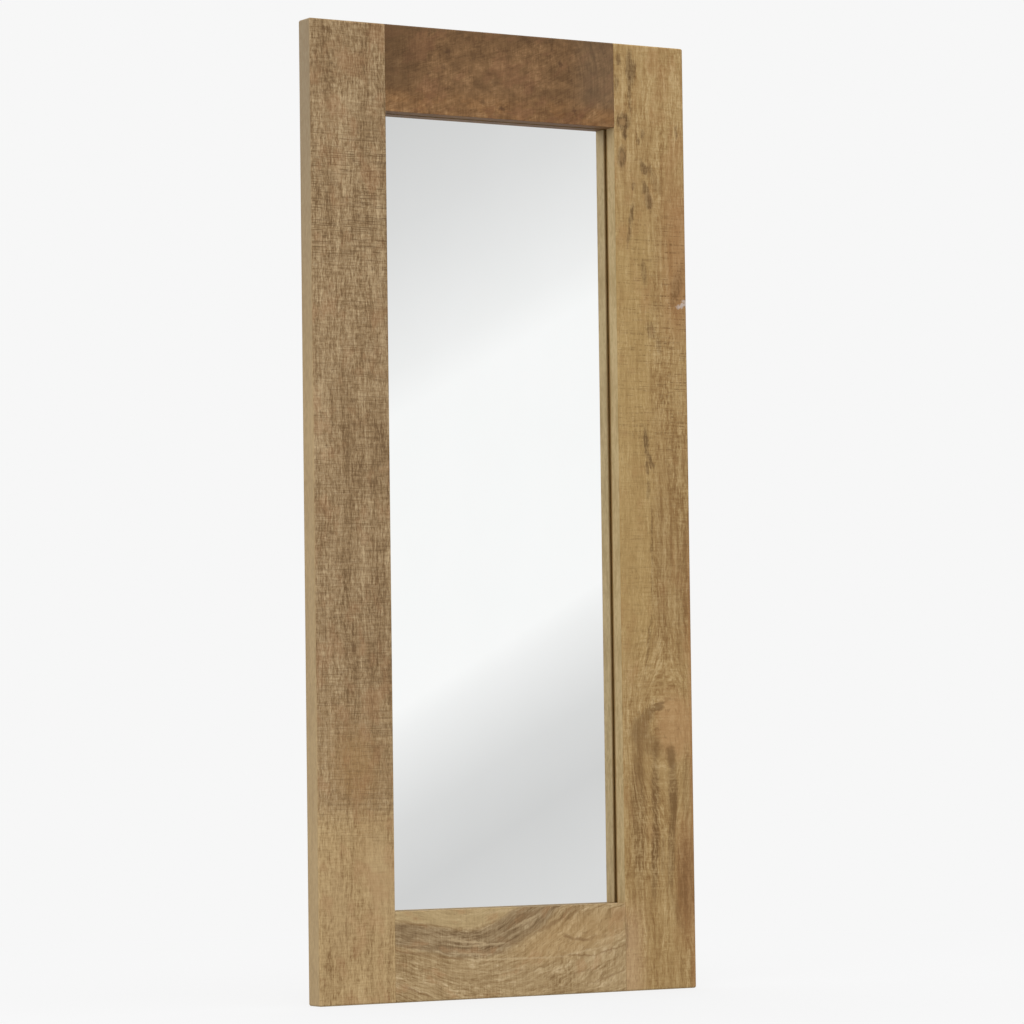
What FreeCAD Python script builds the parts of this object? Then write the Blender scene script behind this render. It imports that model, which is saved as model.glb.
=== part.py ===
"""Framed rectangular mirror: four solid wood boards, a mirror glass set behind their lip, a rear
panel, and two ring hangers on the back.

Frame of reference: +X to the right as seen from the front, +Y to the back (the wall side), +Z up.
The origin is the middle of the bottom edge, halfway through the boards' thickness.
"""

import FreeCAD, Part
import math
import os

import Sketcher

# Driving dimensions in millimetres: alias, value, meaning.
DIMENSIONS = (
    ("frame_width", 500.0, "outer width over both stiles"),
    ("frame_height", 1100.0, "outer height over both rails"),
    ("board_thickness", 26.0, "thickness of all four boards"),
    ("stile_width", 97.0, "width of each upright board"),
    ("top_rail_height", 99.0, "height of the top board"),
    ("bottom_rail_height", 101.5, "height of the bottom board"),
    ("edge_radius", 2.5, "rounding of the outer edges"),
    ("arris_radius", 0.6, "easing of the edges at the opening and round the joints"),
    ("lip_depth", 18.5, "from the front face back to the glass"),
    ("glass_rebate", 10.0, "how far the glass recess reaches behind the lip"),
    ("glass_thickness", 3.0, "mirror glass"),
    ("glass_play", 1.0, "gap round the edge of the glass and of the panel"),
    ("tape_thickness", 1.0, "foam tape between the glass and the panel"),
    ("tape_width", 12.0, "foam tape"),
    ("panel_rebate", 26.0, "how far the panel recess reaches from the opening"),
    ("panel_thickness", 3.0, "rear panel"),
    ("dowel_diameter", 8.0, "joint dowel"),
    ("dowel_length", 60.0, "joint dowel"),
    ("dowel_chamfer", 1.0, "chamfer at both ends of a dowel"),
    ("dowel_outer_inset", 22.0, "outer dowel, from the outer edge of its rail"),
    ("dowel_inner_inset", 58.0, "inner dowel, from the outer edge of its rail"),
    ("end_gap", 0.5, "free depth at the bottom of each blind hole"),
    ("fit_clearance", 0.05, "radial clearance of dowels, screws and the ring's bar"),
    ("panel_screw_diameter", 3.0, "countersunk screw of the rear panel"),
    ("panel_screw_head", 6.0, "diameter of its head"),
    ("panel_screw_length", 14.0, "overall length"),
    ("panel_screw_inset", 18.0, "from the edge of the opening"),
    ("panel_screw_margin", 40.0, "first and last side screw, from the opening's ends"),
    ("panel_screw_spread", 90.0, "top and bottom screws, from the middle"),
    ("screw_tip", 3.0, "length of a screw's point"),
    ("hanger_inset", 36.0, "middle of a hanger or bumper, from the outer edge"),
    ("hanger_drop", 110.0, "hinge axis of a ring, from the top edge"),
    ("strap_width", 16.0, "hanger strap"),
    ("strap_thickness", 1.2, "hanger strap"),
    ("strap_length", 51.0, "from the hinge axis to the strap's end"),
    ("strap_corner", 6.0, "rounding of the strap's lower corners"),
    ("curl_sweep", 300.0, "how far the strap is curled round the bar, in degrees"),
    ("ring_wire", 3.2, "wire of the ring"),
    ("ring_bar", 18.0, "straight stretch of the ring, in the strap's curl"),
    ("ring_corner", 4.0, "radius of the wire's centreline at the bar's ends"),
    ("ring_gap", 0.3, "between the leaning ring and the board"),
    ("strap_screw_diameter", 3.5, "pan-head screw of the strap"),
    ("strap_screw_head", 7.0, "diameter of its head"),
    ("strap_screw_crown", 2.2, "height of its head"),
    ("strap_screw_length", 16.0, "length under the head"),
    ("strap_screw_upper", 25.0, "upper screw, from the hinge axis"),
    ("strap_screw_lower", 43.0, "lower screw, from the hinge axis"),
    ("bumper_diameter", 18.0, "rubber bumper"),
    ("bumper_height", 5.0, "rubber bumper"),
    ("bumper_edge", 1.0, "chamfer round the bumper's free face"),
    ("cut_overrun", 1.0, "how far a cutting outline runs past the wood"),
)

# Lengths worked out from the driving dimensions, as spreadsheet expressions.
HALF_THICKNESS = "dims.board_thickness / 2"
HALF_OPENING = "(dims.frame_width / 2 - dims.stile_width)"
OPENING_BOTTOM = "dims.bottom_rail_height"
OPENING_TOP = "(dims.frame_height - dims.top_rail_height)"
GLASS_SEAT = "(dims.lip_depth - dims.board_thickness / 2)"
TAPE_SEAT = f"({GLASS_SEAT} + dims.glass_thickness)"
PANEL_SEAT = f"({TAPE_SEAT} + dims.tape_thickness)"
PANEL_BACK = f"({PANEL_SEAT} + dims.panel_thickness)"
GLASS_REACH = "(dims.glass_rebate - dims.glass_play)"
PANEL_REACH = "(dims.panel_rebate - dims.glass_play)"
HANGER_X = "(dims.frame_width / 2 - dims.hanger_inset)"
HANGER_Z = "(dims.frame_height - dims.hanger_drop)"
CURL_BORE = "(dims.ring_wire / 2 + dims.fit_clearance)"
CURL_OUTER = f"(dims.strap_thickness + {CURL_BORE})"
RING_CROWN = "(dims.ring_bar / 2 + dims.ring_corner)"
RING_REACH = f"(dims.ring_corner + {RING_CROWN})"

LEFT, RIGHT = -1, 1
SIDES = (("left", LEFT), ("right", RIGHT))

PICK_TOLERANCE = 0.01  # mm, for picking out edges by where they lie
PICK_MARGIN = 1.0  # mm, clear of the edges that are left alone
SMALLEST_CUT = 1e-3  # cubic mm, below which a cut has missed
COUNTERSINK_ANGLE = 90  # degrees, of the panel screws' heads and their holes
# Outline of a pan head, as shares of its radius and height.
PAN_HEAD = ((0.0, 1.0), (0.6, 1.0), (0.9, 0.7), (1.0, 0.3), (1.0, 0.0))

doc = FreeCAD.newDocument("framed_mirror")
sheet = doc.addObject("Spreadsheet::Sheet", "dims")
sub_parts = []


def fill_sheet():
    """Write the driving dimensions into the spreadsheet: meaning, then the value with its alias."""
    for row, (alias, value, meaning) in enumerate(DIMENSIONS, start=1):
        sheet.set(f"A{row}", meaning)
        sheet.set(f"B{row}", str(value))
        sheet.setAlias(f"B{row}", alias)
    doc.recompute()


def value_of(expression):
    """The number that an expression gives now, in millimetres or degrees."""
    result = sheet.evalExpression(str(expression))
    return float(getattr(result, "Value", result))


def new_body(label):
    """A PartDesign body that becomes one sub-part."""
    body = doc.addObject("PartDesign::Body", label)
    body.Label = label
    sub_parts.append(body)
    return body


def place(body, x="0", y="0", z="0", turn=None):
    """Bind the body's position to expressions. turn is an optional fixed (axis, degrees)."""
    if turn:
        axis, degrees = turn
        body.Placement.Rotation = FreeCAD.Rotation(FreeCAD.Vector(*axis), degrees)
    for name, expression in zip("xyz", (x, y, z)):
        body.setExpression(f"Placement.Base.{name}", str(expression))


def new_sketch(body, name, role, offset=None):
    """A sketch on one of the body's origin planes, moved along the plane's normal by offset."""
    sketch = body.newObject("Sketcher::SketchObject", f"{body.Label}_{name}")
    plane = next(item for item in body.Origin.OriginFeatures if item.Role == role)
    sketch.AttachmentSupport = (plane, [""])
    sketch.MapMode = "FlatFace"
    if offset:
        sketch.setExpression("AttachmentOffset.Base.z", offset)
    return sketch


def constrain(sketch, name, expression, *constraint):
    """Add a named dimension to a sketch and bind it to an expression."""
    value = value_of(expression)
    index = sketch.addConstraint(Sketcher.Constraint(*constraint, value))
    sketch.renameConstraint(index, name)
    sketch.setExpression(f"Constraints.{name}", str(expression))


def pin(sketch, name, geometry, point, x, y):
    """Fix one point of a sketch at (x, y) from the sketch's origin."""
    constrain(sketch, f"{name}_x", x, "DistanceX", -1, 1, geometry, point)
    constrain(sketch, f"{name}_y", y, "DistanceY", -1, 1, geometry, point)


def polygon(sketch, corners):
    """A closed outline of straight lines through corners, each given as two expressions."""
    points = [FreeCAD.Vector(value_of(x), value_of(y), 0) for x, y in corners]
    first = sketch.GeometryCount
    last = first + len(points) - 1
    for start, end in zip(points, points[1:] + points[:1]):
        sketch.addGeometry(Part.LineSegment(start, end))
    for line in range(first, last + 1):
        following = first if line == last else line + 1
        sketch.addConstraint(Sketcher.Constraint("Coincident", line, 2, following, 1))
    for line, (x, y) in enumerate(corners, start=first):
        pin(sketch, f"corner{line}", line, 1, x, y)


def rectangle(sketch, x_range, y_range):
    """A rectangle between two x expressions and two y expressions."""
    (left, right), (low, high) = x_range, y_range
    polygon(sketch, ((left, low), (right, low), (right, high), (left, high)))


def circles(sketch, centres, diameter):
    """Equal circles at centres, each given as two expressions."""
    up = FreeCAD.Vector(0, 0, 1)
    for x, y in centres:
        middle = FreeCAD.Vector(value_of(x), value_of(y), 0)
        circle = Part.Circle(middle, up, value_of(diameter) / 2)
        index = sketch.addGeometry(circle)
        pin(sketch, f"centre{index}", index, 3, x, y)
        constrain(sketch, f"diameter{index}", diameter, "Diameter", index)


def pad(body, sketch, length, both_ways=False, backwards=False):
    """Extrude a sketch by length, half each way if both_ways."""
    feature = body.newObject("PartDesign::Pad", f"{sketch.Name}_pad")
    feature.Profile = sketch
    feature.setExpression("Length", length)
    feature.SideType = "Symmetric" if both_ways else "One side"
    feature.Reversed = backwards
    sketch.Visibility = False
    doc.recompute()
    return feature


def pocket(body, sketch, depth, along_normal=False):
    """Cut a sketch to depth, against its normal or along it, and make sure that it cuts."""
    before = body.Shape.Volume
    feature = body.newObject("PartDesign::Pocket", f"{sketch.Name}_cut")
    feature.Profile = sketch
    feature.setExpression("Length", depth)
    feature.Reversed = along_normal
    sketch.Visibility = False
    doc.recompute()
    if body.Shape.Volume > before - SMALLEST_CUT:
        raise RuntimeError(f"{feature.Name} cuts nothing")
    return feature


def edges_where(feature, wanted):
    """Names of the feature's edges whose middle passes the test wanted(point)."""
    names = []
    for number, edge in enumerate(feature.Shape.Edges, start=1):
        middle = edge.valueAt((edge.FirstParameter + edge.LastParameter) / 2)
        if wanted(middle):
            names.append(f"Edge{number}")
    return names


def near(value, wanted):
    """Whether two lengths agree closely enough to pick out an edge."""
    return abs(value - wanted) < PICK_TOLERANCE


def dress(body, kind, feature, edges, size_name, size):
    """Fillet or chamfer the named edges of a feature."""
    dressed = body.newObject(f"PartDesign::{kind}", f"{feature.Name}_{kind.lower()}")
    dressed.Base = (feature, edges)
    dressed.setExpression(size_name, size)
    doc.recompute()
    return dressed


def turned(label, profile):
    """A body turned round its own Z axis from a closed profile of (radius, height) corners."""
    body = new_body(label)
    sketch = new_sketch(body, "profile", "XZ_Plane")
    polygon(sketch, profile)
    revolution = body.newObject("PartDesign::Revolution", f"{label}_turned")
    revolution.Profile = sketch
    revolution.ReferenceAxis = (sketch, ["V_Axis"])
    revolution.Angle = 360
    sketch.Visibility = False
    doc.recompute()
    return body


# ---------------------------------------------------------------- wooden frame


def panel_screw_heights():
    """Heights of the four screws that hold one side of the rear panel."""
    first = f"({OPENING_BOTTOM} + dims.panel_screw_margin)"
    last = f"({OPENING_TOP} - dims.panel_screw_margin)"
    return [f"({first} + ({last} - {first}) * {step} / 3)" for step in range(4)]


def strap_screw_heights():
    """Heights of a strap's two screws."""
    return [f"({HANGER_Z} - dims.strap_screw_{name})" for name in ("upper", "lower")]


def dowel_heights():
    """Heights of the dowels: two in the bottom rail, then two in the top rail."""
    insets = ("dims.dowel_outer_inset", "dims.dowel_inner_inset")
    return [f"({inset})" for inset in insets] + [f"(dims.frame_height - {inset})" for inset in insets]


DOWEL_BORE = "dims.dowel_diameter + 2 * dims.fit_clearance"
DOWEL_BORE_DEPTH = "dims.dowel_length / 2 + dims.end_gap"
PANEL_PILOT = "dims.panel_screw_diameter + 2 * dims.fit_clearance"
PANEL_PILOT_DEPTH = f"{HALF_THICKNESS} - {PANEL_BACK} + dims.panel_screw_length + dims.end_gap"
STRAP_PILOT = "dims.strap_screw_diameter + 2 * dims.fit_clearance"
STRAP_PILOT_DEPTH = "dims.strap_screw_length - dims.strap_thickness + dims.end_gap"
GLASS_REBATE_DEPTH = f"{HALF_THICKNESS} - {GLASS_SEAT}"
PANEL_REBATE_DEPTH = f"{HALF_THICKNESS} - {PANEL_SEAT}"
BACK_PLANE = f"-({HALF_THICKNESS})"  # the XZ plane's normal points to the front


def make_stile(name, side):
    """An upright board. Its local x = 0 is the face towards the opening, and side * x is outwards."""
    body = new_body(f"stile_{name}")
    blank = new_sketch(body, "outline", "XZ_Plane")
    rectangle(blank, ("0", f"{side} * dims.stile_width"), ("0", "dims.frame_height"))
    board = pad(body, blank, "dims.board_thickness", both_ways=True)
    outer_edges = edges_where(board, lambda point: abs(point.x) > PICK_MARGIN)
    board = dress(body, "Fillet", board, outer_edges, "Radius", "dims.edge_radius")
    # The easing runs on round the whole face towards the opening, whose edges are tangent.
    front_y = -value_of(HALF_THICKNESS)
    arris = edges_where(board, lambda point: near(point.x, 0) and near(point.y, front_y))
    dress(body, "Fillet", board, arris, "Radius", "dims.arris_radius")

    for recess, rebate, depth in (
        ("glass_recess", "dims.glass_rebate", GLASS_REBATE_DEPTH),
        ("panel_recess", "dims.panel_rebate", PANEL_REBATE_DEPTH),
    ):
        outline = new_sketch(body, recess, "XZ_Plane", BACK_PLANE)
        heights = (f"{OPENING_BOTTOM} - {rebate}", f"{OPENING_TOP} + {rebate}")
        rectangle(outline, (f"-{side} * dims.cut_overrun", f"{side} * {rebate}"), heights)
        pocket(body, outline, depth, along_normal=True)

    dowel_bores = new_sketch(body, "dowel_bores", "YZ_Plane")
    circles(dowel_bores, [("0", height) for height in dowel_heights()], DOWEL_BORE)
    pocket(body, dowel_bores, DOWEL_BORE_DEPTH, along_normal=side == RIGHT)

    panel_pilots = new_sketch(body, "panel_pilots", "XZ_Plane", BACK_PLANE)
    pilot_x = f"{side} * dims.panel_screw_inset"
    circles(panel_pilots, [(pilot_x, height) for height in panel_screw_heights()], PANEL_PILOT)
    pocket(body, panel_pilots, PANEL_PILOT_DEPTH, along_normal=True)

    strap_pilots = new_sketch(body, "strap_pilots", "XZ_Plane", BACK_PLANE)
    strap_x = f"{side} * (dims.stile_width - dims.hanger_inset)"
    circles(strap_pilots, [(strap_x, height) for height in strap_screw_heights()], STRAP_PILOT)
    pocket(body, strap_pilots, STRAP_PILOT_DEPTH, along_normal=True)
    place(body, x=f"{side} * {HALF_OPENING}")


def make_rail(name, height, outer_z, inwards):
    """A cross board. Its local z = 0 is the outer edge, and inwards * z is towards the opening."""
    body = new_body(f"rail_{name}")
    across = (f"-{HALF_OPENING}", HALF_OPENING)
    blank = new_sketch(body, "outline", "XZ_Plane")
    rectangle(blank, across, ("0", f"{inwards} * {height}"))
    board = pad(body, blank, "dims.board_thickness", both_ways=True)
    long_edges = edges_where(board, lambda point: near(point.x, 0) and near(point.z, 0))
    board = dress(body, "Fillet", board, long_edges, "Radius", "dims.edge_radius")
    # The easing of the front edges runs on round both ends.
    front_y = -value_of(HALF_THICKNESS)
    clear_z = value_of("dims.edge_radius") + PICK_MARGIN
    arrises = edges_where(board, lambda point: near(point.y, front_y) and abs(point.z) > clear_z)
    dress(body, "Fillet", board, arrises, "Radius", "dims.arris_radius")

    for recess, rebate, depth in (
        ("glass_recess", "dims.glass_rebate", GLASS_REBATE_DEPTH),
        ("panel_recess", "dims.panel_rebate", PANEL_REBATE_DEPTH),
    ):
        outline = new_sketch(body, recess, "XZ_Plane", BACK_PLANE)
        past_ends = (f"-{HALF_OPENING} - dims.cut_overrun", f"{HALF_OPENING} + dims.cut_overrun")
        reach = (f"{inwards} * ({height} - {rebate})", f"{inwards} * ({height} + dims.cut_overrun)")
        rectangle(outline, past_ends, reach)
        pocket(body, outline, depth, along_normal=True)

    insets = ("dims.dowel_outer_inset", "dims.dowel_inner_inset")
    centres = [("0", f"{inwards} * {inset}") for inset in insets]
    for end, side in SIDES:
        bores = new_sketch(body, f"{end}_bores", "YZ_Plane", f"{side} * {HALF_OPENING}")
        circles(bores, centres, DOWEL_BORE)
        pocket(body, bores, DOWEL_BORE_DEPTH, along_normal=side == LEFT)

    pilots = new_sketch(body, "panel_pilots", "XZ_Plane", BACK_PLANE)
    pilot_z = f"{inwards} * ({height} - dims.panel_screw_inset)"
    pilot_centres = [(f"{side} * dims.panel_screw_spread", pilot_z) for _, side in SIDES]
    circles(pilots, pilot_centres, PANEL_PILOT)
    pocket(body, pilots, PANEL_PILOT_DEPTH, along_normal=True)
    place(body, z=outer_z)


def make_dowels():
    """Eight beech dowels, two across each corner joint."""
    radius = "dims.dowel_diameter / 2"
    neck = f"{radius} - dims.dowel_chamfer"
    half = "dims.dowel_length / 2"
    shoulder = f"{half} - dims.dowel_chamfer"
    profile = (
        ("0", f"-{half}"),
        (neck, f"-{half}"),
        (radius, f"-({shoulder})"),
        (radius, shoulder),
        (neck, half),
        ("0", half),
    )
    names = ("bottom_outer", "bottom_inner", "top_outer", "top_inner")
    for side_name, side in SIDES:
        for name, height in zip(names, dowel_heights()):
            body = turned(f"dowel_{side_name}_{name}", profile)
            place(body, x=f"{side} * {HALF_OPENING}", z=height, turn=((0, 1, 0), 90))


# ---------------------------------------------------------------- glass and rear panel


def make_slab(label, reach_x, low, high, front, thickness):
    """A flat upright slab centred on x = 0, from low to high, whose front face is at y = front."""
    body = new_body(label)
    sketch = new_sketch(body, "outline", "XZ_Plane")
    rectangle(sketch, (f"-({reach_x})", reach_x), ("0", f"{high} - {low}"))
    pad(body, sketch, thickness, backwards=True)
    place(body, y=front, z=low)
    return body


def make_glass():
    """The mirror glass, seated against the back of the lip."""
    low = f"({OPENING_BOTTOM} - {GLASS_REACH})"
    high = f"({OPENING_TOP} + {GLASS_REACH})"
    reach_x = f"{HALF_OPENING} + {GLASS_REACH}"
    make_slab("mirror_glass", reach_x, low, high, GLASS_SEAT, "dims.glass_thickness")


def make_tapes():
    """Foam tape round the back of the glass: two full-height strips, and two between them."""
    low = f"({OPENING_BOTTOM} - {GLASS_REACH})"
    high = f"({OPENING_TOP} + {GLASS_REACH})"
    edge = f"({HALF_OPENING} + {GLASS_REACH})"
    for name, side in SIDES:
        strip = make_slab(
            f"foam_tape_{name}", "dims.tape_width / 2", low, high, TAPE_SEAT, "dims.tape_thickness"
        )
        place(strip, x=f"{side} * ({edge} - dims.tape_width / 2)", y=TAPE_SEAT, z=low)
    between = f"{edge} - dims.tape_width"
    for name, foot in (("bottom", low), ("top", f"({high} - dims.tape_width)")):
        top = f"({foot} + dims.tape_width)"
        make_slab(f"foam_tape_{name}", between, foot, top, TAPE_SEAT, "dims.tape_thickness")


def panel_screw_places():
    """Name, x and height of each of the twelve screws round the rear panel."""
    places = []
    for side_name, side in SIDES:
        x = f"{side} * ({HALF_OPENING} + dims.panel_screw_inset)"
        for number, height in enumerate(panel_screw_heights(), start=1):
            places.append((f"panel_screw_{side_name}_{number}", x, height))
    for row_name, height in (
        ("bottom", f"({OPENING_BOTTOM} - dims.panel_screw_inset)"),
        ("top", f"({OPENING_TOP} + dims.panel_screw_inset)"),
    ):
        for side_name, side in SIDES:
            x = f"{side} * dims.panel_screw_spread"
            places.append((f"panel_screw_{row_name}_{side_name}", x, height))
    return places


def make_rear_panel():
    """The thin rear panel, let into the boards, with a countersunk hole for each screw."""
    low = f"({OPENING_BOTTOM} - {PANEL_REACH})"
    high = f"({OPENING_TOP} + {PANEL_REACH})"
    reach_x = f"{HALF_OPENING} + {PANEL_REACH}"
    body = make_slab("rear_panel", reach_x, low, high, PANEL_SEAT, "dims.panel_thickness")
    centres = [(x, f"({height} - {low})") for _, x, height in panel_screw_places()]
    positions = new_sketch(body, "screw_positions", "XZ_Plane", "-dims.panel_thickness")
    circles(positions, centres, PANEL_PILOT)
    doc.recompute()
    before = body.Shape.Volume
    hole = body.newObject("PartDesign::Hole", "rear_panel_holes")
    hole.Profile = positions
    hole.Threaded = False
    hole.setExpression("Diameter", PANEL_PILOT)
    hole.DepthType = "ThroughAll"
    hole.HoleCutType = "Countersink"
    hole.HoleCutCustomValues = True
    hole.setExpression("HoleCutDiameter", "dims.panel_screw_head + 2 * dims.fit_clearance")
    hole.HoleCutCountersinkAngle = COUNTERSINK_ANGLE
    hole.Reversed = True
    positions.Visibility = False
    doc.recompute()
    if body.Shape.Volume > before - SMALLEST_CUT:
        raise RuntimeError("the rear panel's holes cut nothing")


def make_panel_screws():
    """Countersunk wood screws, their heads flush with the rear panel."""
    shank = "dims.panel_screw_diameter / 2"
    head = "dims.panel_screw_head / 2"
    profile = (
        ("0", "0"),
        (head, "0"),
        (shank, f"{shank} - {head}"),
        (shank, "dims.screw_tip - dims.panel_screw_length"),
        ("0", "-dims.panel_screw_length"),
    )
    for label, x, height in panel_screw_places():
        body = turned(label, profile)
        place(body, x=x, y=PANEL_BACK, z=height, turn=((1, 0, 0), -90))


# ---------------------------------------------------------------- hangers and bumpers


def make_strap(name, side):
    """A steel strap, flat on the board, whose top end is curled round the ring's bar."""
    body = new_body(f"hanger_strap_{name}")
    sketch = new_sketch(body, "section", "YZ_Plane")
    outer, bore = value_of(CURL_OUTER), value_of(CURL_BORE)
    thickness, length = value_of("dims.strap_thickness"), value_of("dims.strap_length")
    middle = FreeCAD.Vector(outer, 0, 0)
    up = FreeCAD.Vector(0, 0, 1)
    sweep = math.radians(value_of("dims.curl_sweep"))
    around = [Part.Circle(middle, up, radius) for radius in (outer, bore)]
    curls = [Part.ArcOfCircle(circle, math.pi - sweep, math.pi) for circle in around]
    outer_end, inner_end = [curl.StartPoint for curl in curls]
    foot, heel = FreeCAD.Vector(0, -length, 0), FreeCAD.Vector(thickness, -length, 0)
    seat, root = FreeCAD.Vector(0, 0, 0), FreeCAD.Vector(thickness, 0, 0)

    # 0 to 5: back of the strap, outside of the curl, its end, its bore, the strap's face, its foot.
    sketch.addGeometry(Part.LineSegment(foot, seat))
    sketch.addGeometry(curls[0])
    sketch.addGeometry(Part.LineSegment(outer_end, inner_end))
    sketch.addGeometry(curls[1])
    sketch.addGeometry(Part.LineSegment(root, heel))
    sketch.addGeometry(Part.LineSegment(heel, foot))
    for joined in ((0, 2, 1, 2), (1, 1, 2, 1), (2, 2, 3, 1), (3, 2, 4, 1), (4, 2, 5, 1), (5, 2, 0, 1)):
        sketch.addConstraint(Sketcher.Constraint("Coincident", *joined))
    sketch.addConstraint(Sketcher.Constraint("Coincident", 1, 3, 3, 3))
    sketch.addConstraint(Sketcher.Constraint("PointOnObject", 1, 3, 2))
    pin(sketch, "foot", 0, 1, "0", "-dims.strap_length")
    pin(sketch, "seat", 0, 2, "0", "0")
    pin(sketch, "curl", 1, 3, CURL_OUTER, "0")
    pin(sketch, "root", 4, 1, "dims.strap_thickness", "0")
    pin(sketch, "heel", 4, 2, "dims.strap_thickness", "-dims.strap_length")
    constrain(sketch, "curl_end", "360 deg - dims.curl_sweep * 1 deg", "Angle", 2)
    strip = pad(body, sketch, "dims.strap_width", both_ways=True)

    lowest = edges_where(strip, lambda point: near(point.z, -length) and abs(point.x) > PICK_MARGIN)
    short = [edge for edge in lowest if strip.Shape.getElement(edge).Length < 2 * thickness]
    dress(body, "Fillet", strip, short, "Radius", "dims.strap_corner")
    holes = new_sketch(body, "holes", "XZ_Plane")
    centres = [("0", f"-dims.strap_screw_{screw}") for screw in ("upper", "lower")]
    circles(holes, centres, STRAP_PILOT)
    pocket(body, holes, "2 * dims.strap_thickness")
    place(body, x=f"{side} * {HANGER_X}", y=HALF_THICKNESS, z=HANGER_Z)


def make_ring(name, side):
    """A D ring of round wire. Its straight bar lies on the local X axis, its crown points up."""
    body = new_body(f"hanger_ring_{name}")
    path = new_sketch(body, "path", "XZ_Plane")
    half_bar, corner = value_of("dims.ring_bar") / 2, value_of("dims.ring_corner")
    crown = value_of(RING_CROWN)
    up = FreeCAD.Vector(0, 0, 1)
    quarter = math.pi / 2

    # 0 to 3: the bar, its right corner, the crown, the left corner.
    bar_ends = (FreeCAD.Vector(-half_bar, 0, 0), FreeCAD.Vector(half_bar, 0, 0))
    path.addGeometry(Part.LineSegment(*bar_ends))
    for x, radius, start, end in (
        (half_bar, corner, -quarter, 0),
        (0, crown, 0, 2 * quarter),
        (-half_bar, corner, 2 * quarter, 3 * quarter),
    ):
        circle = Part.Circle(FreeCAD.Vector(x, corner, 0), up, radius)
        path.addGeometry(Part.ArcOfCircle(circle, start, end))
    for joined in ((0, 2, 1, 1), (1, 2, 2, 1), (2, 2, 3, 1), (3, 2, 0, 1)):
        path.addConstraint(Sketcher.Constraint("Tangent", *joined))
    pin(path, "bar_left", 0, 1, "-dims.ring_bar / 2", "0")
    pin(path, "bar_right", 0, 2, "dims.ring_bar / 2", "0")
    pin(path, "crown", 2, 3, "0", "dims.ring_corner")
    constrain(path, "crown_radius", RING_CROWN, "Radius", 2)

    section = new_sketch(body, "section", "YZ_Plane")
    circles(section, [("0", "0")], "dims.ring_wire")
    doc.recompute()
    wire = body.newObject("PartDesign::AdditivePipe", f"hanger_ring_{name}_wire")
    wire.Profile = section
    wire.Spine = (path, [f"Edge{number}" for number in range(1, 5)])
    wire.Mode = "Frenet"
    for sketch in (path, section):
        sketch.Visibility = False

    # At rest the ring stands up and leans on the board, clear of it by ring_gap.
    lean = f"asin(({CURL_OUTER} - dims.ring_wire / 2 - dims.ring_gap) / ({RING_REACH}))"
    axis_y = f"{HALF_THICKNESS} + {CURL_OUTER}"
    place(body, f"{side} * {HANGER_X}", axis_y, HANGER_Z, turn=((1, 0, 0), 1))
    body.setExpression("Placement.Rotation.Angle", lean)


def make_strap_screws(name, side):
    """Two pan-head wood screws through a strap."""
    shank = "dims.strap_screw_diameter / 2"
    head = "dims.strap_screw_head / 2"
    crown = "dims.strap_screw_crown"
    profile = [(f"{head} * {across}", f"{crown} * {up}") for across, up in PAN_HEAD]
    profile += [
        (shank, "0"),
        (shank, "dims.screw_tip - dims.strap_screw_length"),
        ("0", "-dims.strap_screw_length"),
    ]
    for screw, height in zip(("upper", "lower"), strap_screw_heights()):
        body = turned(f"hanger_screw_{name}_{screw}", profile)
        seat = f"{HALF_THICKNESS} + dims.strap_thickness"
        place(body, f"{side} * {HANGER_X}", seat, height, turn=((1, 0, 0), -90))


def make_bumper(name, side):
    """A rubber bumper near a lower corner, which keeps the frame off the wall."""
    body = new_body(f"wall_bumper_{name}")
    sketch = new_sketch(body, "outline", "XZ_Plane")
    circles(sketch, [("0", "0")], "dims.bumper_diameter")
    disc = pad(body, sketch, "dims.bumper_height", backwards=True)
    height = value_of("dims.bumper_height")
    rim = edges_where(disc, lambda point: near(point.y, height))
    dress(body, "Chamfer", disc, rim, "Size", "dims.bumper_edge")
    place(body, x=f"{side} * {HANGER_X}", y=HALF_THICKNESS, z="dims.hanger_inset")


# ---------------------------------------------------------------- document


def check_document():
    """Stop if any object failed to recompute, or a sub-part isn't one valid solid."""
    for item in doc.Objects:
        if "Invalid" in item.State or "Error" in item.State:
            raise RuntimeError(f"{item.Label} is {item.State}")
    for body in sub_parts:
        shape = body.Shape
        if shape.isNull() or not shape.isValid() or len(shape.Solids) != 1:
            raise RuntimeError(f"{body.Label} isn't one valid solid")


def export_steps():
    """Write each sub-part's shape to parts/NODE.step."""
    os.makedirs("parts", exist_ok=True)
    for body in sub_parts:
        body.Shape.exportStep(f"parts/{body.Label}.step")


fill_sheet()
for side_label, side_sign in SIDES:
    make_stile(side_label, side_sign)
make_rail("bottom", "dims.bottom_rail_height", "0", 1)
make_rail("top", "dims.top_rail_height", "dims.frame_height", -1)
make_dowels()
make_glass()
make_tapes()
make_rear_panel()
make_panel_screws()
for side_label, side_sign in SIDES:
    make_strap(side_label, side_sign)
    make_ring(side_label, side_sign)
    make_strap_screws(side_label, side_sign)
    make_bumper(side_label, side_sign)
doc.recompute()
check_document()
export_steps()
print(f"{len(sub_parts)} sub-parts written")
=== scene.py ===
import math
import random

import bmesh
import bpy
from mathutils import Matrix, Vector
from mathutils.geometry import tessellate_polygon


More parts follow.
